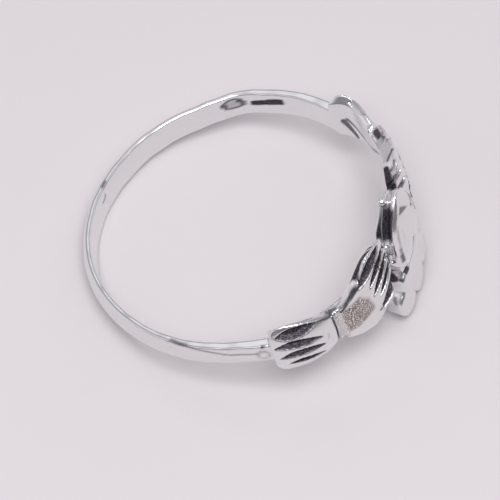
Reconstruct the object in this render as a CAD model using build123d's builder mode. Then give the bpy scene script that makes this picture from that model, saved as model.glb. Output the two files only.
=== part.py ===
from build123d import *
from math import atan, cos, degrees, radians, sin
import os

# The ring is drawn round its own axis, Z, with its head towards +X, and is leaned into its rest at the end.
# Sizes are in millimetres and angles in degrees, counted round the finger from the middle of the head.

# Finger hole and band
finger_diameter = 17.3
band_width = 1.85
band_thickness = 0.68
band_edge = 0.42

# Cuffs
cuff_start = 44.4
cuff_span = 22.4
cuff_inner_width = 3.0
cuff_width = 3.9
cuff_thickness = 1.3
cuff_edge = 0.62
cuff_corner = 0.7
flute_length = 2.7
flute_width = 0.5
flute_depth = 0.36
flute_pitch = 0.85
flute_shift = 0.2

# Wrists
wrist_start = 40.0
wrist_width = 2.6
wrist_thickness = 1.02
wrist_edge = 0.75
wrist_overlap = 1.0
wrist_line_width = 0.12
wrist_line_depth = 0.14
wrist_groove_width = 0.24
wrist_groove_depth = 0.4

# Hands
hand_end = 13.0
hand_length = 5.5
hand_height = 3.5
hand_thickness = 1.4
hand_edge = 0.85
finger_gap_depth = 0.75

# Heart
heart_tip = 3.5
heart_lobe_radius = 0.96
heart_lobe_spread = 1.12
heart_lobe_drop = 0.3
heart_side_bulge = 0.74
heart_thickness = 1.7
heart_edge = 0.95
heart_curve = 3.5
heart_leaf_width = 0.6
heart_leaf_depth = 0.4

# Crown
crown_reach = 5.0
crown_stem_width = 2.2
crown_base_width = 4.3
crown_base_height = 1.4
crown_heart_overlap = 0.35
crown_petal_overlap = 0.45
crown_thickness = 1.1
petal_width = 1.9
petal_length = 2.2
petal_spread = 1.95
petal_turn = 16.0
petal_slit_width = 0.4
petal_slit_length = 1.1
petal_slit_depth = 0.25

# Marks struck inside the band, left blank, and the joint line where the band is soldered
mark_depth = 0.08
oval_angle = 106.0
oval_length = 1.75
oval_width = 0.9
bar_angle = 91.0
bar_length = 1.9
bar_width = 0.5
joint_angle = 166.0
joint_width = 0.1

# Sizes worked out from those above
finger_radius = finger_diameter / 2
wrist_span = cuff_start - wrist_start
hand_middle = (hand_end + wrist_start) / 2
cuff_middle = cuff_start + cuff_span / 2
reach = cuff_thickness * 2
petal_middle = crown_reach - petal_length / 2

# Gaps between the fingers of a hand. Along is a share of the hand's length from the heart to the wrist,
# up is a share of its height, and width is a share of its length.
finger_gaps = [
    # along_tip, up_tip, along_root, up_root, width
    (0.35, 0.91, 0.70, 0.55, 0.085),
    (0.23, 0.87, 0.62, 0.41, 0.085),
    (0.18, 0.68, 0.59, 0.11, 0.085),
    (0.18, 0.46, 0.51, -0.01, 0.075),
    (0.13, 0.12, 0.52, -0.30, 0.170),
]

# Outline of a hand, in the same shares
hand_top = [(1.00, 0.36), (0.72, 0.66), (0.30, 1.00), (0.02, 0.95)]
hand_bottom = [(0.02, -0.48), (0.20, -0.56), (0.62, -0.65), (1.00, -0.40)]

# Flutes along a cuff, as steps of the flute pitch, and lines across a wrist, as shares of its span
flute_steps = [-1.5, -0.5, 0.5, 1.5]
wrist_line_places = [0.2, 0.45, 0.7]

# Leaf on one lobe of the heart, its ends as shares of the heart's half width and of its tip's height
heart_leaf = [(0.56, 0.72), (0.72, -0.05)]


def face_plane(angle, height):
    """Plane facing outwards at an angle round the ring, a height above the finger: x along, y across."""
    radius = finger_radius + height
    turn = radians(angle)
    return Plane(
        origin=(radius * cos(turn), radius * sin(turn), 0),
        x_dir=(-sin(turn), cos(turn), 0),
        z_dir=(cos(turn), sin(turn), 0),
    )


def section_plane(angle):
    """Plane through the axis at an angle round the ring: x outwards, y across."""
    turn = radians(angle)
    return Plane(origin=(0, 0, 0), x_dir=(cos(turn), sin(turn), 0), z_dir=(sin(turn), -cos(turn), 0))


def domed_section(inner_width, width, edge, thickness):
    """Draws a section of the ring wall, flat inside, with leaning sides and a domed outside."""
    with BuildLine() as outline:
        Polyline((finger_radius, -inner_width / 2), (finger_radius + edge, -width / 2))
        ThreePointArc(
            (finger_radius + edge, -width / 2),
            (finger_radius + thickness, 0),
            (finger_radius + edge, width / 2),
        )
        Polyline(
            (finger_radius + edge, width / 2),
            (finger_radius, inner_width / 2),
            (finger_radius, -inner_width / 2),
        )
    make_face(outline.edges())


def leaf(start, end, width):
    """Draws a pointed leaf from start to end."""
    along = Vector(*end) - Vector(*start)
    side = along.rotate(Axis.Z, 90).normalized() * (width / 2)
    middle = Vector(*start) + along / 2
    with BuildLine() as outline:
        ThreePointArc(start, middle + side, end)
        ThreePointArc(end, middle - side, start)
    make_face(outline.edges())


def hand_point(along, up):
    """Place of a share of a hand's length and height on its face plane."""
    return ((along - 0.5) * hand_length, up * hand_height)


# Band, with the whole inner wall
with BuildPart() as band:
    with BuildSketch(section_plane(0)):
        domed_section(band_width, band_width, band_edge, band_thickness)
    revolve(axis=Axis.Z)

# Cuff with its flutes
with BuildPart() as cuff:
    with BuildSketch(section_plane(cuff_start)):
        domed_section(cuff_inner_width, cuff_width, cuff_edge, cuff_thickness)
    revolve(axis=Axis.Z, revolution_arc=cuff_span)
    with BuildSketch(face_plane(cuff_middle, -reach)):
        cuff_length = 2 * finger_radius * sin(radians(cuff_span / 2)) + cuff_thickness / 2
        RectangleRounded(cuff_length, cuff_width, cuff_corner)
    extrude(amount=2 * reach, mode=Mode.INTERSECT)
    for step in flute_steps:
        place = step * flute_pitch + flute_shift
        dome_drop = (cuff_thickness - cuff_edge) * (2 * place / cuff_width) ** 2
        with BuildSketch(face_plane(cuff_middle, cuff_thickness - dome_drop - flute_depth)):
            leaf((-flute_length / 2, place), (flute_length / 2, place), flute_width)
        extrude(amount=reach, mode=Mode.SUBTRACT)

# Wrist, lined across, with a groove where it meets the cuff
with BuildPart() as wrist:
    with BuildSketch(section_plane(wrist_start - wrist_overlap)):
        domed_section(band_width, wrist_width, wrist_edge, wrist_thickness)
    revolve(axis=Axis.Z, revolution_arc=wrist_span + 2 * wrist_overlap)
    for share in wrist_line_places:
        with BuildSketch(face_plane(wrist_start + share * wrist_span, wrist_thickness - wrist_line_depth)):
            Rectangle(wrist_line_width, 2 * wrist_width)
        extrude(amount=reach, mode=Mode.SUBTRACT)
    with BuildSketch(face_plane(cuff_start, wrist_thickness - wrist_groove_depth)):
        Rectangle(wrist_groove_width, 2 * wrist_width)
    extrude(amount=reach, mode=Mode.SUBTRACT)

# Hand with the gaps between its fingers and thumb
with BuildPart() as hand:
    with BuildSketch(section_plane(0)):
        domed_section(2 * hand_height, 2 * hand_height, hand_edge, hand_thickness)
    revolve(axis=Axis.Z, revolution_arc=wrist_start + 2 * wrist_overlap)
    with BuildSketch(face_plane(hand_middle, -reach)):
        with BuildLine():
            Spline(*[hand_point(along, up) for along, up in hand_top])
            Line(hand_point(*hand_top[-1]), hand_point(*hand_bottom[0]))
            Spline(*[hand_point(along, up) for along, up in hand_bottom])
            Line(hand_point(*hand_bottom[-1]), hand_point(*hand_top[0]))
        make_face()
    extrude(amount=2 * reach, mode=Mode.INTERSECT)
    with BuildSketch(face_plane(hand_middle, hand_thickness - finger_gap_depth)):
        for along_tip, up_tip, along_root, up_root, width in finger_gaps:
            leaf(hand_point(along_tip, up_tip), hand_point(along_root, up_root), width * hand_length)
    extrude(amount=reach, mode=Mode.SUBTRACT)

# Heart, tip towards the top edge of the ring, with an engraved leaf on each lobe
with BuildPart() as heart:
    heart_axis = finger_radius + heart_thickness - heart_curve
    heart_side = heart_lobe_spread + heart_lobe_radius
    with BuildSketch(Plane.XZ):
        with BuildLine():
            Polyline((heart_axis, -heart_tip), (finger_radius + heart_edge, -heart_tip))
            ThreePointArc(
                (finger_radius + heart_edge, -heart_tip),
                (finger_radius + heart_thickness, 0),
                (finger_radius + heart_edge, heart_tip),
            )
            Polyline(
                (finger_radius + heart_edge, heart_tip),
                (heart_axis, heart_tip),
                (heart_axis, -heart_tip),
            )
        make_face()
    revolve(axis=Axis((heart_axis, 0, 0), (0, 0, 1)))
    with BuildSketch(face_plane(0, -reach)):
        bulge_up = (heart_tip - heart_lobe_drop) / 2
        bulge_out = heart_side * (0.5 + heart_side_bulge / 2)
        with BuildLine():
            ThreePointArc((0, heart_tip), (bulge_out, bulge_up), (heart_side, -heart_lobe_drop))
            Line((heart_side, -heart_lobe_drop), (-heart_side, -heart_lobe_drop))
            ThreePointArc((-heart_side, -heart_lobe_drop), (-bulge_out, bulge_up), (0, heart_tip))
        make_face()
        with Locations((heart_lobe_spread, -heart_lobe_drop), (-heart_lobe_spread, -heart_lobe_drop)):
            Circle(heart_lobe_radius)
    extrude(amount=2 * reach, mode=Mode.INTERSECT)
    with BuildSketch(face_plane(0, heart_thickness - heart_leaf_depth)):
        for side in (-1, 1):
            leaf_ends = [(side * out * heart_side, up * heart_tip) for out, up in heart_leaf]
            leaf(*leaf_ends, heart_leaf_width)
    extrude(amount=reach, mode=Mode.SUBTRACT)

# Crown under the heart's lobes: a stem between them, a base and three petals with slits
with BuildPart() as crown:
    with BuildSketch(section_plane(-45)):
        with Locations((finger_radius + crown_thickness / 2, -crown_reach / 2)):
            Rectangle(crown_thickness, crown_reach)
    revolve(axis=Axis.Z, revolution_arc=90)
    with BuildSketch(face_plane(0, -reach)):
        stem_top = crown_heart_overlap - heart_lobe_drop - heart_lobe_radius
        base_bottom = petal_length - crown_petal_overlap - crown_reach
        with Locations((0, (stem_top + base_bottom) / 2)):
            Rectangle(crown_stem_width, stem_top - base_bottom)
        with Locations((0, base_bottom + crown_base_height / 2)):
            Rectangle(crown_base_width, crown_base_height)
        with Locations((0, -petal_middle)):
            Ellipse(petal_width / 2, petal_length / 2)
        for side in (-1, 1):
            with Locations(Location((side * petal_spread, -petal_middle, 0), (0, 0, side * petal_turn))):
                Ellipse(petal_width / 2, petal_length / 2)
    extrude(amount=2 * reach, mode=Mode.INTERSECT)
    with BuildSketch(face_plane(0, crown_thickness - petal_slit_depth)):
        for side in (-1, 0, 1):
            with Locations(Location((side * petal_spread, -petal_middle, 0), (0, 0, side * petal_turn))):
                Ellipse(petal_slit_width / 2, petal_slit_length / 2)
    extrude(amount=reach, mode=Mode.SUBTRACT)

# The whole ring is one casting, round its axis
with BuildPart() as upright:
    add(band.part)
    for side_piece in (cuff.part, wrist.part, hand.part):
        add(side_piece)
        add(side_piece.mirror(Plane.XZ))
    add(heart.part)
    add(crown.part)
    Cylinder(finger_radius, 4 * heart_tip, mode=Mode.SUBTRACT)
    # marks struck into the inside of the band
    with BuildSketch(face_plane(oval_angle, mark_depth)):
        Ellipse(oval_length / 2, oval_width / 2)
    extrude(amount=-reach, mode=Mode.SUBTRACT)
    with BuildSketch(face_plane(bar_angle, mark_depth)):
        RectangleRounded(bar_length, bar_width, bar_width / 3)
    extrude(amount=-reach, mode=Mode.SUBTRACT)
    with BuildSketch(face_plane(joint_angle, mark_depth)):
        Rectangle(joint_width, 2 * band_width)
    extrude(amount=-reach, mode=Mode.SUBTRACT)

# At rest the crown and the far edge of the band stand on the surface, which lifts the head
rest_lean = degrees(atan((crown_reach - band_width / 2) / (2 * finger_radius + band_edge)))
leaned = upright.part.rotate(Axis.Y, -rest_lean)
box = leaned.bounding_box()

with BuildPart() as claddagh_ring:
    add(leaned.moved(Location((-(box.min.X + box.max.X) / 2, -(box.min.Y + box.max.Y) / 2, -box.min.Z))))

claddagh_ring.part.label = "claddagh_ring"
os.makedirs("parts", exist_ok=True)
export_step(claddagh_ring.part, "parts/claddagh_ring.step")
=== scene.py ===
import bpy
import numpy as np
from math import atan, cos, pi, radians, sin
from mathutils import Matrix, Vector


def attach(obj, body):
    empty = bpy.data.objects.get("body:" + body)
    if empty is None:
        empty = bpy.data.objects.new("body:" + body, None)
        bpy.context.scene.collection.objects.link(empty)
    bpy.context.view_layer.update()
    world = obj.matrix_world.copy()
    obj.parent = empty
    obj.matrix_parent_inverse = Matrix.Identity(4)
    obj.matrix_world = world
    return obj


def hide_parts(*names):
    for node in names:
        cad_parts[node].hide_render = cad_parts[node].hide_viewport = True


# Ring
finger_radius = 8.65
face_radius = 9.6
degree_length = face_radius * radians(1)
crown_reach = 5.0

# Rest on the floor, on the crown's end and the lower edge of the band
rest_half_band = 0.925
rest_edge = 0.42
rest_shift = (-0.7424, 0.0, 2.979)

# Grid that the surface is drawn on
grid_step = 0.065
head_end = 70.0
head_turn_step = 0.41
band_turn_step = 1.25
across_limits = (-5.16, 3.96)
height_limits = (-0.13, 1.9)


# Tables and fields. A field is negative inside the metal.

def blend(low, high, share):
    """Value at a share of the way between two others."""
    return low + (high - low) * share


def smooth_table(x, places, values):
    """Reads a table along a smooth curve through its points."""
    places = np.asarray(places, float)
    values = np.asarray(values, float)
    slopes = np.gradient(values, places)
    x = np.clip(x, places[0], places[-1])
    index = np.clip(np.searchsorted(places, x) - 1, 0, len(places) - 2)
    gap = places[index + 1] - places[index]
    t = (x - places[index]) / gap
    low, high = values[index], values[index + 1]
    rise_low, rise_high = slopes[index] * gap, slopes[index + 1] * gap
    return (
        low * (1 + 2 * t) * (1 - t) ** 2
        + rise_low * t * (1 - t) ** 2
        + high * t * t * (3 - 2 * t)
        + rise_high * t * t * (t - 1)
    )


def read(table, x):
    """Reads a table of pairs, each a place and its value."""
    places, values = zip(*table)
    return smooth_table(x, places, values)


def join(a, b, soft=0.05):
    """Union of two fields, with a small fillet."""
    mix = np.clip(0.5 + 0.5 * (b - a) / soft, 0, 1)
    return b + (a - b) * mix - soft * mix * (1 - mix)


def both(a, b, soft=0.05):
    """Intersection of two fields, with a small round."""
    return -join(-a, -b, soft)


def step_up(x, low, high):
    """Smooth step from 0 at low to 1 at high."""
    t = np.clip((x - low) / (high - low), 0, 1)
    return t * t * (3 - 2 * t)


def window(value, low, high, soft=0.05):
    """Share of being between two values, with soft ends."""
    return np.clip((value - low) / soft + 0.5, 0, 1) * np.clip((high - value) / soft + 0.5, 0, 1)


def leaf_depth(x, y, start, end, width, fullest=0.5, bow=0.0):
    """How far inside a pointed leaf a place is, as a share of its half width. Negative outside."""
    dx, dy = end[0] - start[0], end[1] - start[1]
    length = np.hypot(dx, dy)
    t = ((x - start[0]) * dx + (y - start[1]) * dy) / length ** 2
    reach = np.where(t < fullest, (fullest - t) / fullest, (t - fullest) / (1 - fullest))
    share = 1 - reach * reach
    side = ((y - start[1]) * dx - (x - start[0]) * dy) / length
    return share - np.abs(side + bow * share) / (width / 2)


def line_distance(place, points):
    """Distance to a line through points, in two or three directions."""
    best = 9.0
    for start, end in zip(points[:-1], points[1:]):
        step = [b - a for a, b in zip(start, end)]
        away = [p - a for p, a in zip(place, start)]
        t = np.clip(sum(w * s for w, s in zip(away, step)) / sum(s * s for s in step), 0, 1)
        best = np.minimum(best, np.sqrt(sum((w - t * s) ** 2 for w, s in zip(away, step))))
    return best


def patch_depth(x, y, corners):
    """Distance inside a patch with its corners in clockwise order. Negative outside."""
    depth = 9.0
    for (ax, ay), (bx, by) in zip(corners, corners[1:] + corners[:1]):
        dx, dy = bx - ax, by - ay
        depth = np.minimum(depth, ((x - ax) * dy - (y - ay) * dx) / np.hypot(dx, dy))
    return depth


def along(turn):
    """Length round the face from the middle of the head."""
    return turn * degree_length


def on_face(points):
    """Points given as turn and across, with the turn as a length."""
    return [(along(turn), across) for turn, across in points]


# Outlines of half a ring: pairs of turn and across, or of turn and height for a face

inner_top = [
    (0, 2.98), (1.9, 2.75), (4.6, 2.36), (7.1, 1.98), (9.7, 1.68), (12, 1.56), (14.5, 1.7),
    (16.2, 1.88), (18.8, 2.05), (21.6, 2.07), (24.6, 1.92), (27.6, 1.62), (30.6, 1.3), (33.3, 1.02),
    (35.9, 0.76), (38.2, 0.6), (40.1, 0.62), (44.5, 0.98), (47, 1.03), (50, 1.15), (54, 1.3),
    (57.5, 1.42), (61, 1.5), (65, 1.5), (70, 1.4),
]
hand_rim = [
    (12, 1.75), (15.9, 2.24), (18.7, 2.55), (21, 2.7), (23.4, 2.73), (25.8, 2.71), (28.3, 2.56),
    (31, 2.23), (33.5, 1.94), (36.1, 1.55), (38.3, 1.32), (40.4, 1.14), (44, 1.2),
]
palm_top = [
    (12, 3.3), (15, 3.5), (18, 3.5), (20, 3.45), (22.8, 3.4), (25.7, 3.3), (28.5, 2.95),
    (30.2, 2.63), (31.3, 2.31), (33, 2.0), (34.6, 1.73), (36.5, 1.5), (38.4, 1.38), (41.2, 1.2),
    (44, 1.2),
]
hand_bottom = [
    (12, 1.5), (18.5, 1.5), (22.5, 1.55), (24.8, 1.85), (26.5, 2.2), (28.5, 2.34), (32, 2.27),
    (36.5, 2.0), (40, 1.65), (44, 1.45),
]
hand_face = [(12, 1.15), (16, 1.28), (22, 1.4), (30, 1.34), (38, 1.12), (42, 0.98), (46, 1.0)]
cuff_top = [
    (44, 1.15), (45.7, 1.2), (48.2, 1.4), (51.1, 1.56), (54.6, 1.76), (58.1, 1.9), (61.7, 1.97),
    (64.6, 1.93), (66.5, 1.8), (68, 1.7),
]
cuff_bottom = [(44, 1.45), (47, 1.6), (50, 1.75), (55, 1.85), (60, 1.8), (63, 1.68), (66, 1.45), (68, 1.3)]
cuff_face = [(44, 0.92), (47, 1.0), (52, 1.08), (58, 1.12), (63, 1.08), (67, 0.98), (68, 0.96)]
band_rim = [(66, 0.64), (70, 0.6), (80, 0.5), (95, 0.42), (105, 0.34), (120, 0.3), (180, 0.3)]


# Grooves, each a pointed leaf

finger_gaps = [
    # root turn, root across, tip turn, tip across, width, where it is fullest, bow
    (33.2, 1.74, 18.8, 3.02, 0.82, 0.50, 0.10),
    (29.3, 1.14, 16.4, 2.60, 0.54, 0.50, 0.09),
    (28.7, 0.32, 15.6, 2.12, 0.54, 0.50, 0.10),
    (26.3, -0.14, 16.2, 1.40, 0.48, 0.50, 0.03),
    # above the thumb
    (27.0, -1.20, 11.0, 0.55, 1.15, 0.65, 0.0),
]
flutes = [
    # band end turn, band end across, wrist end turn, wrist end across, width, where it is fullest, bow
    (64.8, 1.46, 50.0, 1.40, 0.64, 0.42, 0.0),
    (66.0, 0.78, 49.6, 0.38, 0.52, 0.42, 0.15),
    (65.2, -0.02, 49.4, -0.28, 0.52, 0.42, 0.17),
    (62.9, -0.72, 50.0, -1.12, 0.44, 0.42, 0.12),
]
groove_steepness = 2.4


def shortened(leaves, share):
    """The same leaves from their roots on, with a share of their length."""
    return [
        (root, root_across, blend(root, tip, share), blend(root_across, tip_across, share), *shape)
        for root, root_across, tip, tip_across, *shape in leaves
    ]


# The far side is worn: its face is lower, and the gap along its rim is gone
far_wear = 0.3
far_gaps = shortened(finger_gaps[1:], 0.5)


def leaf_share(turn, across, leaves):
    """How far inside the nearest leaf a place is, as a share of its half width. Negative outside."""
    length = along(turn)
    share = np.full(np.broadcast(turn, across).shape, -1.0)
    for start, start_across, end, end_across, *shape in leaves:
        ends = (along(start), start_across), (along(end), end_across)
        share = np.maximum(share, leaf_depth(length, across, *ends, *shape))
    return share


def groove(turn, across, leaves):
    """Depth of the grooves at a place, from 0 to 1."""
    return np.clip(leaf_share(turn, across, leaves) * groove_steepness, 0, 1)


# Band

band_half_width = 0.88
band_thickness = 0.6
band_dome = 0.08
lower_rim_share = 0.4


def band_field(turn, across, height):
    rim = read(band_rim, turn)
    edge = np.where(across > 0, rim, lower_rim_share * rim)
    middle = np.maximum(band_thickness, rim + band_dome)
    top = blend(edge, middle, 1 - (across / band_half_width) ** 2)
    body = both(np.abs(across) - band_half_width, height - top, soft=0.07)
    return both(body, -height)


# Cuffs

cuff_wrist_end = 44.5
cuff_band_end = 67.0
cuff_corner = 0.7
cuff_dome = 0.66
cuff_spread_height = 0.45
flute_depth = 0.3
cuff_wear_turns = (54, 64)


def cuff_field(turn, across, height, wear):
    inner, upper, lower = read(inner_top, turn), read(cuff_top, turn), read(cuff_bottom, turn)
    spread = np.clip(height / cuff_spread_height, 0, 1.6)
    top = blend(inner, upper, spread)
    bottom = lower * (0.8 + 0.2 * np.minimum(spread, 1))
    outline = both(across - top, -across - bottom, soft=0.1)
    face = read(cuff_face, turn) - cuff_dome * (across / 2) ** 2
    face = face - wear * (1 - step_up(turn, *cuff_wear_turns))
    body = both(outline, height - face + flute_depth * groove(turn, across, flutes), soft=0.06)
    half = np.where(across > 0, upper, lower)
    past_side = np.maximum(np.abs(across) - (half - cuff_corner), 0)
    past_end = np.maximum(along(turn) - along(cuff_band_end) + cuff_corner, 0)
    body = both(body, np.hypot(past_end, past_side) - cuff_corner, soft=0.06)
    body = both(body, along(cuff_wrist_end) - along(turn), soft=0.1)
    return both(body, -height, soft=0.06)


# Wrists, with fine ribs round them

wrist_middle = 42.4
wrist_half_turn = 1.75
wrist_face = 0.98
wrist_dome = 0.3
wrist_top = 1.15
wrist_bottom = 1.05
wrist_bottom_flare = 0.4
wrist_spread_height = 0.6
rib_height = 0.05
rib_turn = 0.95
first_rib = 40.7


def wrist_field(turn, across, height):
    ribs = rib_height * np.cos((turn - first_rib) * 2 * pi / rib_turn)
    ribs = ribs * step_up(turn, 40.4, 41.2) * (1 - step_up(turn, 43.4, 44))
    face = wrist_face + ribs - wrist_dome * (across / 1.4) ** 2
    spread = np.clip(height / wrist_spread_height, 0, 1)
    top = blend(read(inner_top, turn), wrist_top, spread)
    outline = both(across - top, -across - wrist_bottom - wrist_bottom_flare * spread, soft=0.1)
    body = both(outline, height - face, soft=0.1)
    body = both(body, np.abs(along(turn) - along(wrist_middle)) - along(wrist_half_turn))
    return both(body, -height, soft=0.06)


# Hands. The upper side flares from the finger hole to the rim, and from there to the palm.

rim_height = 0.62
palm_rise = 0.53
hand_spread_height = 0.75
hand_wrist_end = 41.2
hand_wear_turns = (13, 20)
hand_dome = 0.22
hand_lower_fall = 0.2
finger_gap_depth = 0.6
thumb = [(27.4, -1.2), (22.9, -1.12), (18.6, -1.12), (15.2, -1.12)]
thumb_radius = 0.24
thumb_rise = 0.14
fingertips = [
    # across, turn
    (-2.3, 17), (-1.6, 15.2), (-1.1, 14.6), (0.6, 12.8), (2.4, 12.6), (3.3, 13.4), (3.9, 15),
]
fingertip_notches = [3.75, 3.05, 2.15, 1.25]
notch_half_width = 0.16
notch_depth = 0.22
fingertip_slope = 0.8
fingertip_slope_start = 0.3


def hand_field(turn, across, height, gaps, wear):
    length = along(turn)
    inner, rim, palm = read(inner_top, turn), read(hand_rim, turn), read(palm_top, turn)
    low_top = blend(inner, rim, height / rim_height)
    high_top = blend(rim, palm, (height - rim_height) / palm_rise)
    top = np.where(height < rim_height, low_top, high_top)
    bottom = read(hand_bottom, turn) * (0.72 + 0.28 * np.clip(height / hand_spread_height, 0, 1))
    outline = both(across - top, -across - bottom, soft=0.12)
    dome = hand_dome * (across / 2.6) ** 2
    lower_fall = hand_lower_fall * np.clip(-across / 2.3, 0, 2) ** 2
    face = read(hand_face, turn) - dome - lower_fall
    face = face - wear * step_up(turn, *hand_wear_turns)
    from_thumb = line_distance((length, across), on_face(thumb))
    bulge = thumb_rise * np.clip(1 - (from_thumb / thumb_radius) ** 2, 0, 1)
    cut = finger_gap_depth * groove(turn, across, gaps)
    body = both(outline, height - face + cut - bulge, soft=0.06)
    notch = np.full(np.broadcast(turn, across, height).shape, 0.0)
    for place in fingertip_notches:
        away = np.abs(across - place - 0.9 * (height - 0.8))
        notch = np.maximum(notch, 1 - away / notch_half_width)
    slope = fingertip_slope * np.clip(height - fingertip_slope_start, 0, 2)
    end = along(read(fingertips, across)) + slope + notch_depth * np.clip(notch * 1.5, 0, 1)
    body = both(body, (end - length) * 0.8, soft=0.08)
    body = both(body, length - along(hand_wrist_end), soft=0.06)
    return both(body, -height, soft=0.06)


# Heart

heart_half = [
    # across, half width
    (-0.4, 1.9), (0.2, 1.9), (1.0, 1.85), (1.6, 1.72), (2.3, 1.42), (2.8, 1.09), (3.2, 0.70), (3.5, 0.28),
]
heart_tip = 3.52
heart_height = 1.54
heart_roll = 0.42
heart_lean_height = 0.95
lobe_middle = (1.12, -0.3)
lobe_radius = 0.96
cleft_depth = 0.3
cleft_half_width = 0.6
heart_dent = (1.02, 2.45), (1.6, -0.6), 0.52, 0.45
heart_dent_depth = 0.08
heart_waists = [
    # depth, height, width
    (0.22, 0.22, 0.14),
    (0.26, 0.72, 0.18),
]


def heart_face(length, across):
    """Height of the heart's puffed face."""
    roll = heart_roll * np.clip(length / read(heart_half, across), 0, 1.2) ** 7
    tip_fall = 0.03 * np.clip(across, 0, 5) ** 2
    lobe_fall = 0.22 * step_up(-across, -0.2, 1.3)
    cleft_share = step_up(-across, -0.7, 0.9) * (1 - np.clip(length / cleft_half_width, 0, 1)) ** 2
    return heart_height - roll - tip_fall - lobe_fall - cleft_depth * cleft_share


def heart_field(turn, across, height):
    length = along(turn)
    lobe_across = across - lobe_middle[1]
    side = length - read(heart_half, across)
    lobe = np.hypot(length - lobe_middle[0], lobe_across * 1.02) - lobe_radius
    shape = np.where(lobe_across > 0, np.minimum(side, lobe + 0.3), lobe)
    shape = np.maximum(shape, across - heart_tip)
    waist = sum(depth * np.exp(-((height - middle) / width) ** 2) for depth, middle, width in heart_waists)
    shape = shape + waist * step_up(across, -0.2, 0.6)
    lean = across - read(inner_top, turn) - 1.15 * np.clip(height / heart_lean_height, 0, 1)
    dent = heart_dent_depth * np.clip(leaf_depth(length, across, *heart_dent) * 4, 0, 1)
    body = both(shape, height - heart_face(length, across) + dent, soft=0.07)
    body = both(body, lean, soft=0.07)
    return both(body, -height)


# Crown

crown_blocks = [
    # half width, middle across, half length, height, narrowing towards the heart, corner
    (1.6, -1.2, 0.62, 0.98, 0.0, 0.12),
    (2.135, -2.65, 0.8, 1.08, 0.3, 0.45),
]
petals = [
    # middle as a length, middle across, tilt in degrees, half width, half length
    (0.0, -3.93, 0, 1.0, 1.02),
    (1.9, -3.84, 16, 0.98, 1.04),
]
petal_height = 0.98
petal_dome = 0.2
loop_half_width = 0.45
loop_half_length = 0.8
loop_depth = 0.03


def block_field(length, across, height, half_width, middle, half_length, top, narrowing, corner):
    """One block of the crown's base."""
    from_middle = across - middle
    side = length - half_width + narrowing * from_middle
    outline = both(side, np.abs(from_middle) - half_length, soft=corner)
    return both(outline, height - top, soft=0.12)


def petal_field(wide, long, height, half_width, half_length):
    """One petal, domed, with a shallow loop on it."""
    reach = np.hypot(wide / half_width, long / half_length)
    from_loop = np.abs(np.hypot(wide / loop_half_width, (long + 0.05) / loop_half_length) - 1)
    face = petal_height + petal_dome * np.sqrt(np.clip(1.05 - reach ** 2, 0, 1))
    face = face - loop_depth * np.clip(1 - from_loop / 0.22, 0, 1)
    return both((reach - 1) * 0.9, height - face, soft=0.14)


def crown_field(turn, across, height):
    length = along(turn)
    stem, base = [block_field(length, across, height, *sizes) for sizes in crown_blocks]
    body = join(stem, base)
    for middle, middle_across, tilt, half_width, half_length in petals:
        x, y = length - middle, across - middle_across
        wide = x * cos(radians(tilt)) + y * sin(radians(tilt))
        long = y * cos(radians(tilt)) - x * sin(radians(tilt))
        body = join(body, petal_field(wide, long, height, half_width, half_length), soft=0.16)
    return both(body, -height, soft=0.08)


# Whole ring

# The knob beside the heart's tip, at a length, across and height
knob = (-0.46, 3.3, 0.37)
knob_radius = 0.27
knob_turns = (-6, 6)


def span(turns, low, high):
    """Slice of the sorted turns that lie between two of them."""
    inside = np.flatnonzero((turns >= low) & (turns <= high))
    return slice(inside[0], inside[-1] + 1)


def half_field(turns, across, heights, gaps, wear):
    """Field on the grid from the middle of the head to the back."""
    turn, across, height = turns[:, None, None], across[None, :, None], heights[None, None, :]
    field = band_field(turn, across, height)
    parts = [
        # field, what it takes, first turn, last turn, fillet
        (cuff_field, (wear,), 43.5, 69.0, 0.05),
        (wrist_field, (), 39.0, 46.5, 0.04),
        (hand_field, (gaps, wear), 11.5, 43.0, 0.04),
        (heart_field, (), 0.0, 18.0, 0.04),
        (crown_field, (), 0.0, 20.5, 0.05),
    ]
    for part, takes, first, last, soft in parts:
        place = span(turns, first, last)
        field[place] = join(field[place], part(turn[place], across, height, *takes), soft)
    return field.astype(np.float32)


def knob_field(turn, across, height):
    length_away, across_away, height_away = along(turn) - knob[0], across - knob[1], height - knob[2]
    return np.sqrt(length_away ** 2 + across_away ** 2 + height_away ** 2) - knob_radius


# Surface of a field on a grid, closed round the ring

def neighbours(axis):
    """Slices that give each pair of neighbours along one axis of a grid."""
    lower = [slice(None)] * 3
    upper = [slice(None)] * 3
    lower[axis], upper[axis] = slice(0, -1), slice(1, None)
    return tuple(lower), tuple(upper)


def corner_sums(values, crossed, axis, shape, sums):
    """Adds each crossed grid edge along one axis to the cells round it."""
    lower, upper = neighbours(axis)
    before, after = values[lower], values[upper]
    share = np.where(crossed, before / np.where(crossed, before - after, 1), 0)
    others = [a for a in range(3) if a != axis]
    for first in (0, 1):
        for second in (0, 1):
            part = [slice(0, shape[a]) for a in range(3)]
            part[others[0]] = slice(first, first + shape[others[0]])
            part[others[1]] = slice(second, second + shape[others[1]])
            hit = crossed[tuple(part)]
            sums[3] += hit
            sums[axis] += share[tuple(part)]
            sums[others[0]] += hit * first
            sums[others[1]] += hit * second


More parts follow.
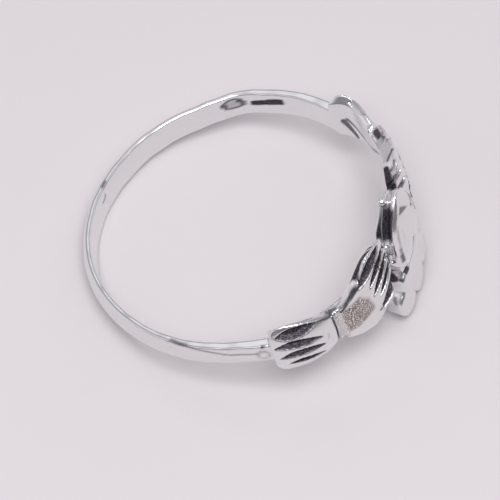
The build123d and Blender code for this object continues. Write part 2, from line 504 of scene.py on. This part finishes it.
def surface(values):
    """Places in grid steps, and four-cornered faces, of the surface where the values change sign."""
    values = np.concatenate([values, values[:1]])
    shape = tuple(n - 1 for n in values.shape)
    inside = values < 0
    sums = np.zeros((4,) + shape, np.float32)
    crossings = []
    for axis in range(3):
        lower, upper = neighbours(axis)
        crossed = inside[lower] != inside[upper]
        crossings.append(crossed)
        corner_sums(values, crossed, axis, shape, sums)
    cells = np.argwhere(sums[3] > 0)
    number = np.full(shape, -1, np.int64)
    number[tuple(cells.T)] = np.arange(len(cells))
    places = cells + (sums[:3] / np.maximum(sums[3], 1))[(slice(None),) + tuple(cells.T)].T
    faces = []
    for axis, crossed in enumerate(crossings):
        others = [a for a in range(3) if a != axis]
        at = np.argwhere(crossed)
        at = at[np.all((at >= (0, 1, 1)) & (at < shape), 1)]
        out = inside[tuple(at.T)]
        corners = []
        for first, second in ((1, 1), (0, 1), (0, 0), (1, 0)):
            cell = at.copy()
            cell[:, others[0]] -= first
            cell[:, others[1]] -= second
            cell[:, 0] %= shape[0]
            corners.append(number[tuple(cell.T)])
        quads = np.stack(corners, 1)
        flip = out if axis != 1 else ~out
        quads[~flip] = quads[~flip][:, ::-1]
        faces.append(quads)
    return places, np.concatenate(faces)


def place_on_grid(lines, steps):
    """Reads a grid line's value between its steps."""
    index = np.minimum(steps.astype(int), len(lines) - 2)
    return lines[index] + (lines[index + 1] - lines[index]) * (steps - index)


def ring_surface():
    """Turn, across and height of each point of the ring's surface, and its faces."""
    half_turns = np.concatenate([
        np.arange(0, head_end, head_turn_step),
        np.arange(head_end, 180, band_turn_step),
    ])
    turns = np.concatenate([-half_turns[:0:-1], half_turns])
    across = np.arange(*across_limits, grid_step)
    heights = np.arange(*height_limits, grid_step)
    near_half = half_field(half_turns, across, heights, finger_gaps, 0.0)
    far_half = half_field(half_turns, across, heights, far_gaps, far_wear)
    field = np.concatenate([near_half[:0:-1], far_half])
    tip = span(turns, *knob_turns)
    grid = turns[tip, None, None], across[None, :, None], heights[None, None, :]
    field[tip] = join(field[tip], knob_field(*grid), soft=0.08)
    steps, faces = surface(field)
    turn = place_on_grid(np.append(turns, turns[0] + 360), steps[:, 0])
    turn = (turn + 180) % 360 - 180
    return turn, place_on_grid(across, steps[:, 1]), place_on_grid(heights, steps[:, 2]), faces


# Bends of the worn band, which isn't quite round

bends = [
    # turn, outward shift
    (-180, 0.035), (-160, 0.04), (-120, -0.05), (-110, -0.03), (-90, 0), (-80, 0.01), (-72, 0.1),
    (-66, 0.17), (-47, 0.17), (-41, 0.05), (-36, 0), (36, 0), (41, 0.05), (47, 0.17), (62, 0.17),
    (65, -0.1), (75, -0.085), (80, -0.035), (90, 0.04), (95, 0.07), (104, 0.155), (110, 0.02),
    (115, -0.045), (120, -0.075), (125, -0.05), (130, -0.03), (140, 0), (160, -0.015), (175, 0.03),
    (180, 0.035),
]
slips = [
    # turn, shift of the far cuff's band end round the ring, in degrees
    (44, 0), (55, -0.9), (65, -2.2), (70, -1.9), (78, -0.8), (86, 0), (180, 0),
]
edge_waves = [
    # size, waves round the ring, where they start in degrees
    (0.016, 23, 0),
    (0.012, 41, 60),
]


def ring_places(turn, across, height):
    """Places in the shared frame, in metres, of places on the ring."""
    radius = finger_radius + height + read(bends, turn)
    for size, waves, start in edge_waves:
        across = across + size * np.sin(np.radians(turn * waves + start))
    turn = turn + read(slips, turn)
    lean = atan((crown_reach - rest_half_band) / (2 * finger_radius + rest_edge))
    x = radius * np.cos(np.radians(turn))
    y = radius * np.sin(np.radians(turn))
    places = np.stack([
        x * cos(lean) - across * sin(lean) + rest_shift[0],
        y + rest_shift[1],
        x * sin(lean) + across * cos(lean) + rest_shift[2],
    ], 1)
    return places / 1000


def make_mesh(name, places, faces):
    mesh = bpy.data.meshes.new(name)
    mesh.vertices.add(len(places))
    mesh.vertices.foreach_set("co", places.ravel())
    mesh.loops.add(faces.size)
    mesh.loops.foreach_set("vertex_index", faces.ravel())
    mesh.polygons.add(len(faces))
    mesh.polygons.foreach_set("loop_start", np.arange(0, faces.size, faces.shape[1]))
    mesh.update(calc_edges=True)
    mesh.validate()
    mesh.shade_smooth()
    return mesh


def add_object(name, data):
    thing = bpy.data.objects.new(name, data)
    bpy.context.collection.objects.link(thing)
    return thing


# Paint: how dark or brown each place of the surface is, from oxide, brown stain and, in a few places,
# painted shade. Each mark is a line of even width.

both_sides_marks = [
    # darkness, width, places as turn, across and height
    (0.5, 0.12, [(44.2, 1.1, 0.8), (44.2, -1.4, 0.8)]),
    (0.85, 0.24, [(7.6, 1.95, 1.06), (8.7, 1.48, 1.1), (9.6, 0.7, 1.12)]),
    (0.85, 0.28, [(9.6, 0.7, 1.12), (9.8, 0.15, 1.12)]),
    (0.85, 0.34, [(9.8, 0.15, 1.12), (9.5, -0.45, 1.06)]),
    (0.6, 0.1, [(5.9, 2.4, 1.1), (5.6, 2.05, 1.2), (6.0, 1.3, 1.3), (7.25, 0.47, 1.28), (8.5, -0.11, 1.2)]),
    (0.5, 0.08, [(1.75, -4.2, 1.0), (2.4, -4.7, 0.95)]),
    (0.7, 0.09, [(11.8, -3.45, 1.0), (12.9, -4.05, 1.0)]),
    # darkness, width, places round the loop on the outer petal
    (0.45, 0.08, [(10.9 - 2.5 * cos(k * pi / 8), -3.9 + 0.75 * sin(k * pi / 8), 1.0) for k in range(-4, 5)]),
]
near_marks = [
    # darkness, width, places as turn, across and height
    (0.9, 0.18, [(-51.0, 1.5, 0.85), (-47.5, 1.32, 0.82), (-44.8, 1.12, 0.8)]),
    (0.45, 0.18, [(-47.7, 0.29, 1.18), (-48.0, -0.08, 1.2)]),
    (0.75, 0.26, [(-44.6, 1.12, 0.45), (-41.8, 1.1, 0.5)]),
    # painted shade, partly oxide: the dark bevel between the near hand's rim and palm, facing away from the
    # light
    (0.95, 0.2, [(-30.5, 2.15, 1.1), (-34.7, 1.73, 1.0), (-37.0, 1.5, 0.98)]),
    (0.95, 0.15, [(-37.0, 1.5, 0.98), (-41.0, 1.02, 0.98)]),
    (1.0, 0.42, [(-9.8, -2.0, 0.0), (-11.4, -2.05, 0.35), (-12.8, -2.1, 0.2)]),
    (0.95, 0.34, [(-8.3, -1.95, 0.9), (-6.7, -1.97, 0.92)]),
    (0.95, 0.2, [(-9.8, -1.95, 0.9), (-11.2, -2.1, 0.9)]),
    # painted shadow under the near thumb, where it meets the crown
    (0.95, 0.15, [(-14.6, -1.52, 1.0), (-22.5, -1.56, 1.0), (-25.4, -1.9, 1.0)]),
    # painted shade: a thin dark line along the near band's outer top edge
    (0.85, 0.08, [
        (-103, 0.87, 0.3), (-99, 0.86, 0.35), (-92, 0.74, 0.48), (-81, 0.4, 0.58), (-71, 0.35, 0.62),
    ]),
    (0.85, 0.12, [(-103, 0.87, 0.3), (-97, 0.84, 0.38)]),
    (0.6, 0.13, [(-15.0, -3.05, 0.52), (-16.6, -3.36, 0.68)]),
    (0.7, 0.08, [(-104.1, 0.8, 0.4), (-103.4, 0.45, 0.48)]),
    (0.9, 0.26, [(-67.6, 1.0, 0.75), (-69.9, 0.85, 0.75)]),
    (0.4, 0.08, [(2.0, 1.58, 1.32), (0.0, 1.26, 1.35), (-3.2, 1.6, 1.31), (-4.9, 2.04, 1.22)]),
    (0.5, 0.12, [(1.2, 0.38, 1.37), (1.3, -0.18, 1.28)]),
    (0.5, 0.12, [(-2.5, 0.09, 1.38), (-5.2, -0.33, 1.32)]),
]
far_marks = [
    # darkness, width, places as turn, across and height
    (0.85, 0.24, [(22.4, 2.86, 0.62), (21.6, 2.64, 0.44), (20.6, 2.45, 0.25)]),
    (0.85, 0.2, [(18.2, 2.68, 0.72), (17.1, 2.55, 0.56), (16.6, 2.21, 0.31)]),
    (0.85, 0.11, [(16.5, 1.95, 0.84), (15.2, 2.0, 0.74), (14.4, 1.82, 0.56), (13.8, 1.72, 0.44)]),
    (0.85, 0.17, [(15.8, 1.17, 0.85), (15.1, 0.94, 0.68)]),
    (0.85, 0.32, [(8.4, 1.55, 1.1), (7.6, 1.4, 1.14), (5.0, 1.5, 1.3)]),
    # painted shade with some oxide: the low wall between the far hand and the heart
    (1.0, 0.42, [(18.0, 2.15, 0.0), (15.6, 1.95, 0.1), (14.0, 1.7, 0.15), (12.8, 1.3, 0.25)]),
    (0.95, 0.3, [(42.6, 1.02, 0.46), (40.0, 1.0, 0.46)]),
    (0.3, 0.3, [(59.0, 1.68, 0.55), (54.6, 1.58, 0.58), (48.3, 1.31, 0.5), (46.6, 1.23, 0.57)]),
    (0.6, 0.26, [(50.0, -0.62, 0.2), (45.0, -0.6, 0.1), (39.0, 0.14, 0.0), (34.5, 0.64, 0.0)]),
    (1.0, 0.52, [(87.3, 0.26, 0.0), (92.0, 0.2, 0.0)]),
    (1.0, 0.44, [(92.0, 0.2, 0.0), (97.4, 0.08, 0.0)]),
    # darkness, width, places round the round mark inside the band
    (0.85, 0.16, [(105.0 + 4.1 * cos(k * pi / 8), 0.25 + 0.38 * sin(k * pi / 8), 0.0) for k in range(17)]),
    (0.4, 0.5, [(107.0, 0.25, 0.0), (103.0, 0.25, 0.0)]),
    (0.9, 0.3, [(109.0, 0.35, 0.0), (107.8, 0.05, 0.0)]),
    (0.9, 0.3, [(102.6, 0.4, 0.0), (101.4, 0.05, 0.0)]),
    (0.85, 0.42, [(62.2, 0.0, 0.0), (60.2, -0.6, 0.05), (58.0, -1.2, 0.16)]),
    (0.75, 0.3, [(60.6, 0.2, 0.02), (58.0, -0.14, 0.15), (54.8, -0.58, 0.16), (51.5, -0.75, 0.1)]),
    (0.7, 0.12, [(167.0, 0.88, 0.15), (169.7, 0.88, 0.1), (170.4, 0.3, 0.0), (173.6, 0.15, 0.0)]),
]
stippled_palm = [
    # turn, across
    (40.6, 1.0), (41.2, 0.2), (40.6, -0.8), (39.8, -1.2), (36.4, -0.95), (31.6, -1.0), (29.4, -0.6),
    (30.6, 0.6), (33.4, 1.25),
]
heart_wedge = [
    # turn, across
    (2.3, 1.93), (-4.7, 2.63), (-2.1, 2.87),
]
wedge_darkness = 0.75
mark_edge = 0.07
dark_gap_turns = (12.5, 34)
dark_gap_heights = (0.3, 1.34)
dark_flute_turns = (46, 68)
far_flute_darkness = 0.2
heart_wall_end = 13
heart_wall_across = (1.2, 3.2)
heart_wall_rib = (0.37, 0.42)
stained_rib_turns = (40.2, 44.2)
rib_stain = 0.35
swirl_middle = (-70, 0.2)
swirl_radii = (0.2, 0.42)
swirl_stain = 0.6


def strokes(marks, turn, across, height):
    """Darkness of a table of marks at each place. A difference in height counts for half."""
    place = along(turn), across, height / 2
    dark = np.zeros_like(turn)
    for darkness, width, points in marks:
        line = [(along(t), a, h / 2) for t, a, h in points]
        share = np.clip((width / 2 - line_distance(place, line)) / mark_edge + 0.5, 0, 1)
        dark = np.maximum(dark, darkness * share)
    return dark


def heart_wall_darkness(side, across, height):
    """Darkness of the heart's side walls, oxide with painted shade, with a lighter rib along them."""
    away = np.abs(along(side) - read(heart_half, across))
    wall = window(height, 0.14 * across - 0.2, 0.9 + 0.07 * across) * np.clip(1.6 - away * 2.2, 0, 1)
    wall = wall * window(across, *heart_wall_across, soft=0.4) * (side < heart_wall_end)
    return wall * (1 - 0.6 * window(height, *heart_wall_rib))


def paint(turn, across, height):
    """Tarnish with painted shade, and brown stain, of each place, from 0 to 1."""
    side = np.abs(turn)
    far = turn > 0
    gap = np.where(far, leaf_share(side, across, far_gaps), leaf_share(side, across, finger_gaps))
    gap = np.clip(gap * 6 + 0.6, 0, 1) * window(height, *dark_gap_heights)
    gap = gap * window(side, *dark_gap_turns, soft=1)
    on_cuff = (height > 0.25) * (side > dark_flute_turns[0]) * (side < dark_flute_turns[1])
    flute = np.clip(leaf_share(side, across, flutes) * 8 + 1, 0, 1) * on_cuff
    flute = flute * np.where(far, far_flute_darkness, 1)
    wall = heart_wall_darkness(side, across, height)
    marks = np.maximum(
        strokes(both_sides_marks, side, across, height),
        strokes(near_marks + far_marks, turn, across, height),
    )
    wedge = np.clip(patch_depth(along(turn), across, on_face(heart_wedge)) / 0.06 + 0.5, 0, 1)
    wedge = wedge_darkness * wedge * (height > 0.8)
    # oxide in the hollows and marks, with painted shade on some walls and edges
    tarnish_and_shade = np.max(np.stack([gap, flute, wall, marks, wedge]), 0)
    on_top = height > 0.7
    palm = np.clip(patch_depth(along(side), across, on_face(stippled_palm)) / 0.25 + 0.6, 0, 1) * on_top
    ribs = rib_stain * window(side, *stained_rib_turns, soft=0.3) * on_top
    from_swirl = np.hypot(along(turn - swirl_middle[0]), across - swirl_middle[1])
    swirl = swirl_stain * window(from_swirl, *swirl_radii, soft=0.1) * (height > 0.4)
    return tarnish_and_shade, np.max(np.stack([palm, ribs, swirl]), 0)


# Silver

clean_silver = (0.825, 0.825, 0.83, 1)
brown_stain = (0.22, 0.165, 0.135, 1)
# dark colours of the oxide, also used for painted shade
light_oxide_and_shade = (0.13, 0.12, 0.14, 1)
dark_oxide_and_shade = (0.04, 0.034, 0.046, 1)
speck_waves = 14000
dent_waves = 2200


def mix_colour(nodes, links, factor, before, after):
    """Mixes two colours, each a value or a socket, by a factor socket."""
    mix = nodes.new("ShaderNodeMix")
    mix.data_type = "RGBA"
    links.new(factor, mix.inputs["Factor"])
    for name, colour in (("A", before), ("B", after)):
        if isinstance(colour, tuple):
            mix.inputs[name].default_value = colour
        else:
            links.new(colour, mix.inputs[name])
    return mix.outputs["Result"]


def attribute(nodes, name):
    node = nodes.new("ShaderNodeAttribute")
    node.attribute_name = name
    return node.outputs["Fac"]


def noise(nodes, links, waves, detail=2.0):
    """Noise with a number of waves a metre."""
    place = nodes.new("ShaderNodeTexCoord")
    node = nodes.new("ShaderNodeTexNoise")
    links.new(place.outputs["Object"], node.inputs["Vector"])
    node.inputs["Scale"].default_value = waves
    node.inputs["Detail"].default_value = detail
    return node.outputs["Fac"]


def map_range(nodes, links, factor, before=(0, 1), after=(0, 1)):
    """Carries a factor from one range to another, and holds it at the ends."""
    node = nodes.new("ShaderNodeMapRange")
    links.new(factor, node.inputs["Value"])
    node.inputs["From Min"].default_value, node.inputs["From Max"].default_value = before
    node.inputs["To Min"].default_value, node.inputs["To Max"].default_value = after
    return node.outputs["Result"]


def multiply(nodes, links, first, second):
    node = nodes.new("ShaderNodeMath")
    node.operation = "MULTIPLY"
    links.new(first, node.inputs[0])
    links.new(second, node.inputs[1])
    return node.outputs["Value"]


def material_silver():
    """Worn silver, oxidised dark in the recesses, with painted shade in the same dark colours, and stained
    brown in specks on the palms.
    """
    material = bpy.data.materials.new("oxidised_silver")
    material.use_nodes = True
    nodes, links = material.node_tree.nodes, material.node_tree.links
    shader = nodes["Principled BSDF"]
    # oxide and painted shade, read from the surface
    tarnish_and_shade = attribute(nodes, "tarnish_and_shade")
    specks = map_range(nodes, links, noise(nodes, links, speck_waves), before=(0.42, 0.5))
    brown = multiply(nodes, links, attribute(nodes, "stain"), specks)
    silver = mix_colour(nodes, links, brown, clean_silver, brown_stain)
    oxide_and_shade = mix_colour(nodes, links, specks, light_oxide_and_shade, dark_oxide_and_shade)
    links.new(mix_colour(nodes, links, tarnish_and_shade, silver, oxide_and_shade), shader.inputs["Base Color"])
    shader.inputs["Metallic"].default_value = 1.0
    links.new(map_range(nodes, links, tarnish_and_shade, after=(0.22, 0.55)), shader.inputs["Roughness"])
    bump = nodes.new("ShaderNodeBump")
    bump.inputs["Strength"].default_value = 0.12
    bump.inputs["Distance"].default_value = 0.00003
    links.new(noise(nodes, links, dent_waves, 3.0), bump.inputs["Height"])
    links.new(bump.outputs["Normal"], shader.inputs["Normal"])
    return material


def add_ring():
    turn, across, height, faces = ring_surface()
    mesh = make_mesh("claddagh_casting", ring_places(turn, across, height), faces)
    # stores the oxide with painted shade, and the brown stain
    for name, values in zip(("tarnish_and_shade", "stain"), paint(turn, across, height)):
        layer = mesh.attributes.new(name, "FLOAT", "POINT")
        layer.data.foreach_set("value", values.astype(np.float32))
    mesh.materials.append(material_silver())
    return add_object("claddagh_casting", mesh)


# Floor

floor_reach = 0.6
floor_colour = (0.64, 0.607, 0.62, 1)


def add_floor():
    corners = [(-1, -1, 0), (1, -1, 0), (1, 1, 0), (-1, 1, 0)]
    mesh = make_mesh("floor", floor_reach * np.array(corners, float), np.array([(0, 1, 2, 3)]))
    material = bpy.data.materials.new("pale_floor")
    material.use_nodes = True
    shader = material.node_tree.nodes["Principled BSDF"]
    shader.inputs["Base Color"].default_value = floor_colour
    shader.inputs["Roughness"].default_value = 0.9
    shader.inputs["Specular IOR Level"].default_value = 0.2
    mesh.materials.append(material)
    return add_object("floor", mesh)


# Light: a lamp, and a pale sky that is brightest in one direction and in a ring round it

bright_direction = (-0.4, 0.5, 0.75)
sky_tint = (0.97, 0.94, 1.0)
sky_stops = [
    # cosine of the angle to the bright direction, brightness. The ramp's last stop, at 1, stays white.
    (0.0, 0.20),
    (0.45, 0.95),
    (0.91, 0.27),
    (0.975, 0.85),
]
lamp_place = (0.03, -0.115, 0.31)
lamp_size = 0.20
lamp_watts = 0.82


def add_sky():
    world = bpy.data.worlds.new("soft_studio")
    world.use_nodes = True
    bpy.context.scene.world = world
    nodes, links = world.node_tree.nodes, world.node_tree.links
    direction = nodes.new("ShaderNodeTexCoord")
    towards_light = nodes.new("ShaderNodeVectorMath")
    towards_light.operation = "DOT_PRODUCT"
    towards_light.inputs[1].default_value = Vector(bright_direction).normalized()
    links.new(direction.outputs["Generated"], towards_light.inputs[0])
    shade = nodes.new("ShaderNodeValToRGB")
    links.new(towards_light.outputs["Value"], shade.inputs["Fac"])
    stops = shade.color_ramp.elements
    for place, brightness in sky_stops:
        stop = stops.new(place) if place > 0 else stops[0]
        stop.color = (*[brightness * part for part in sky_tint], 1)
    links.new(shade.outputs["Color"], nodes["Background"].inputs["Color"])


def add_lamp():
    lamp_data = bpy.data.lights.new("window", "AREA")
    lamp_data.energy = lamp_watts
    lamp_data.size = lamp_size
    lamp = add_object("window", lamp_data)
    lamp.location = lamp_place
    lamp.rotation_euler = (-Vector(lamp_place)).to_track_quat("-Z", "Y").to_euler()


# Camera. The photo is 500 pixels wide and high, and shows the ring at 17.7 pixels a millimetre.

photo_width = 500
pixels_per_mm = 17.7
ring_centre_pixel = (243.2, 224.9)
camera_distance = 0.2
camera_turn = radians(12.3)
camera_rise = radians(55.6)


def add_camera():
    camera_data = bpy.data.cameras.new("camera")
    camera_data.sensor_width = 36
    camera_data.lens = pixels_per_mm * camera_distance * 1000 * camera_data.sensor_width / photo_width
    camera = add_object("camera", camera_data)
    towards_camera = Vector((
        sin(camera_turn) * cos(camera_rise),
        -cos(camera_turn) * cos(camera_rise),
        sin(camera_rise),
    ))
    right = Vector((cos(camera_turn), sin(camera_turn), 0))
    up = towards_camera.cross(right)
    aside = (photo_width / 2 - ring_centre_pixel[0]) / pixels_per_mm / 1000
    above = (ring_centre_pixel[1] - photo_width / 2) / pixels_per_mm / 1000
    target = Vector(rest_shift) / 1000 + right * aside + up * above
    facing = Matrix((right, up, towards_camera)).transposed().to_4x4()
    camera.matrix_world = Matrix.Translation(target + towards_camera * camera_distance) @ facing
    bpy.context.scene.camera = camera


# Scene

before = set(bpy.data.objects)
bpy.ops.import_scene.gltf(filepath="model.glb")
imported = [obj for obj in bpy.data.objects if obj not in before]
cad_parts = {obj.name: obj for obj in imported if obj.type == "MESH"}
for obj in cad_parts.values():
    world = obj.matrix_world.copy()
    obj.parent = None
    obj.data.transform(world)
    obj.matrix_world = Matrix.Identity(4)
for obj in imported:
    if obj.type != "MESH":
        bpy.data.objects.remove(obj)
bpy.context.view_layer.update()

ring = add_ring()
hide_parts("claddagh_ring")
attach(ring, "root")

floor = add_floor()

bpy.context.scene.view_settings.view_transform = "Standard"
add_sky()
add_lamp()
add_camera()
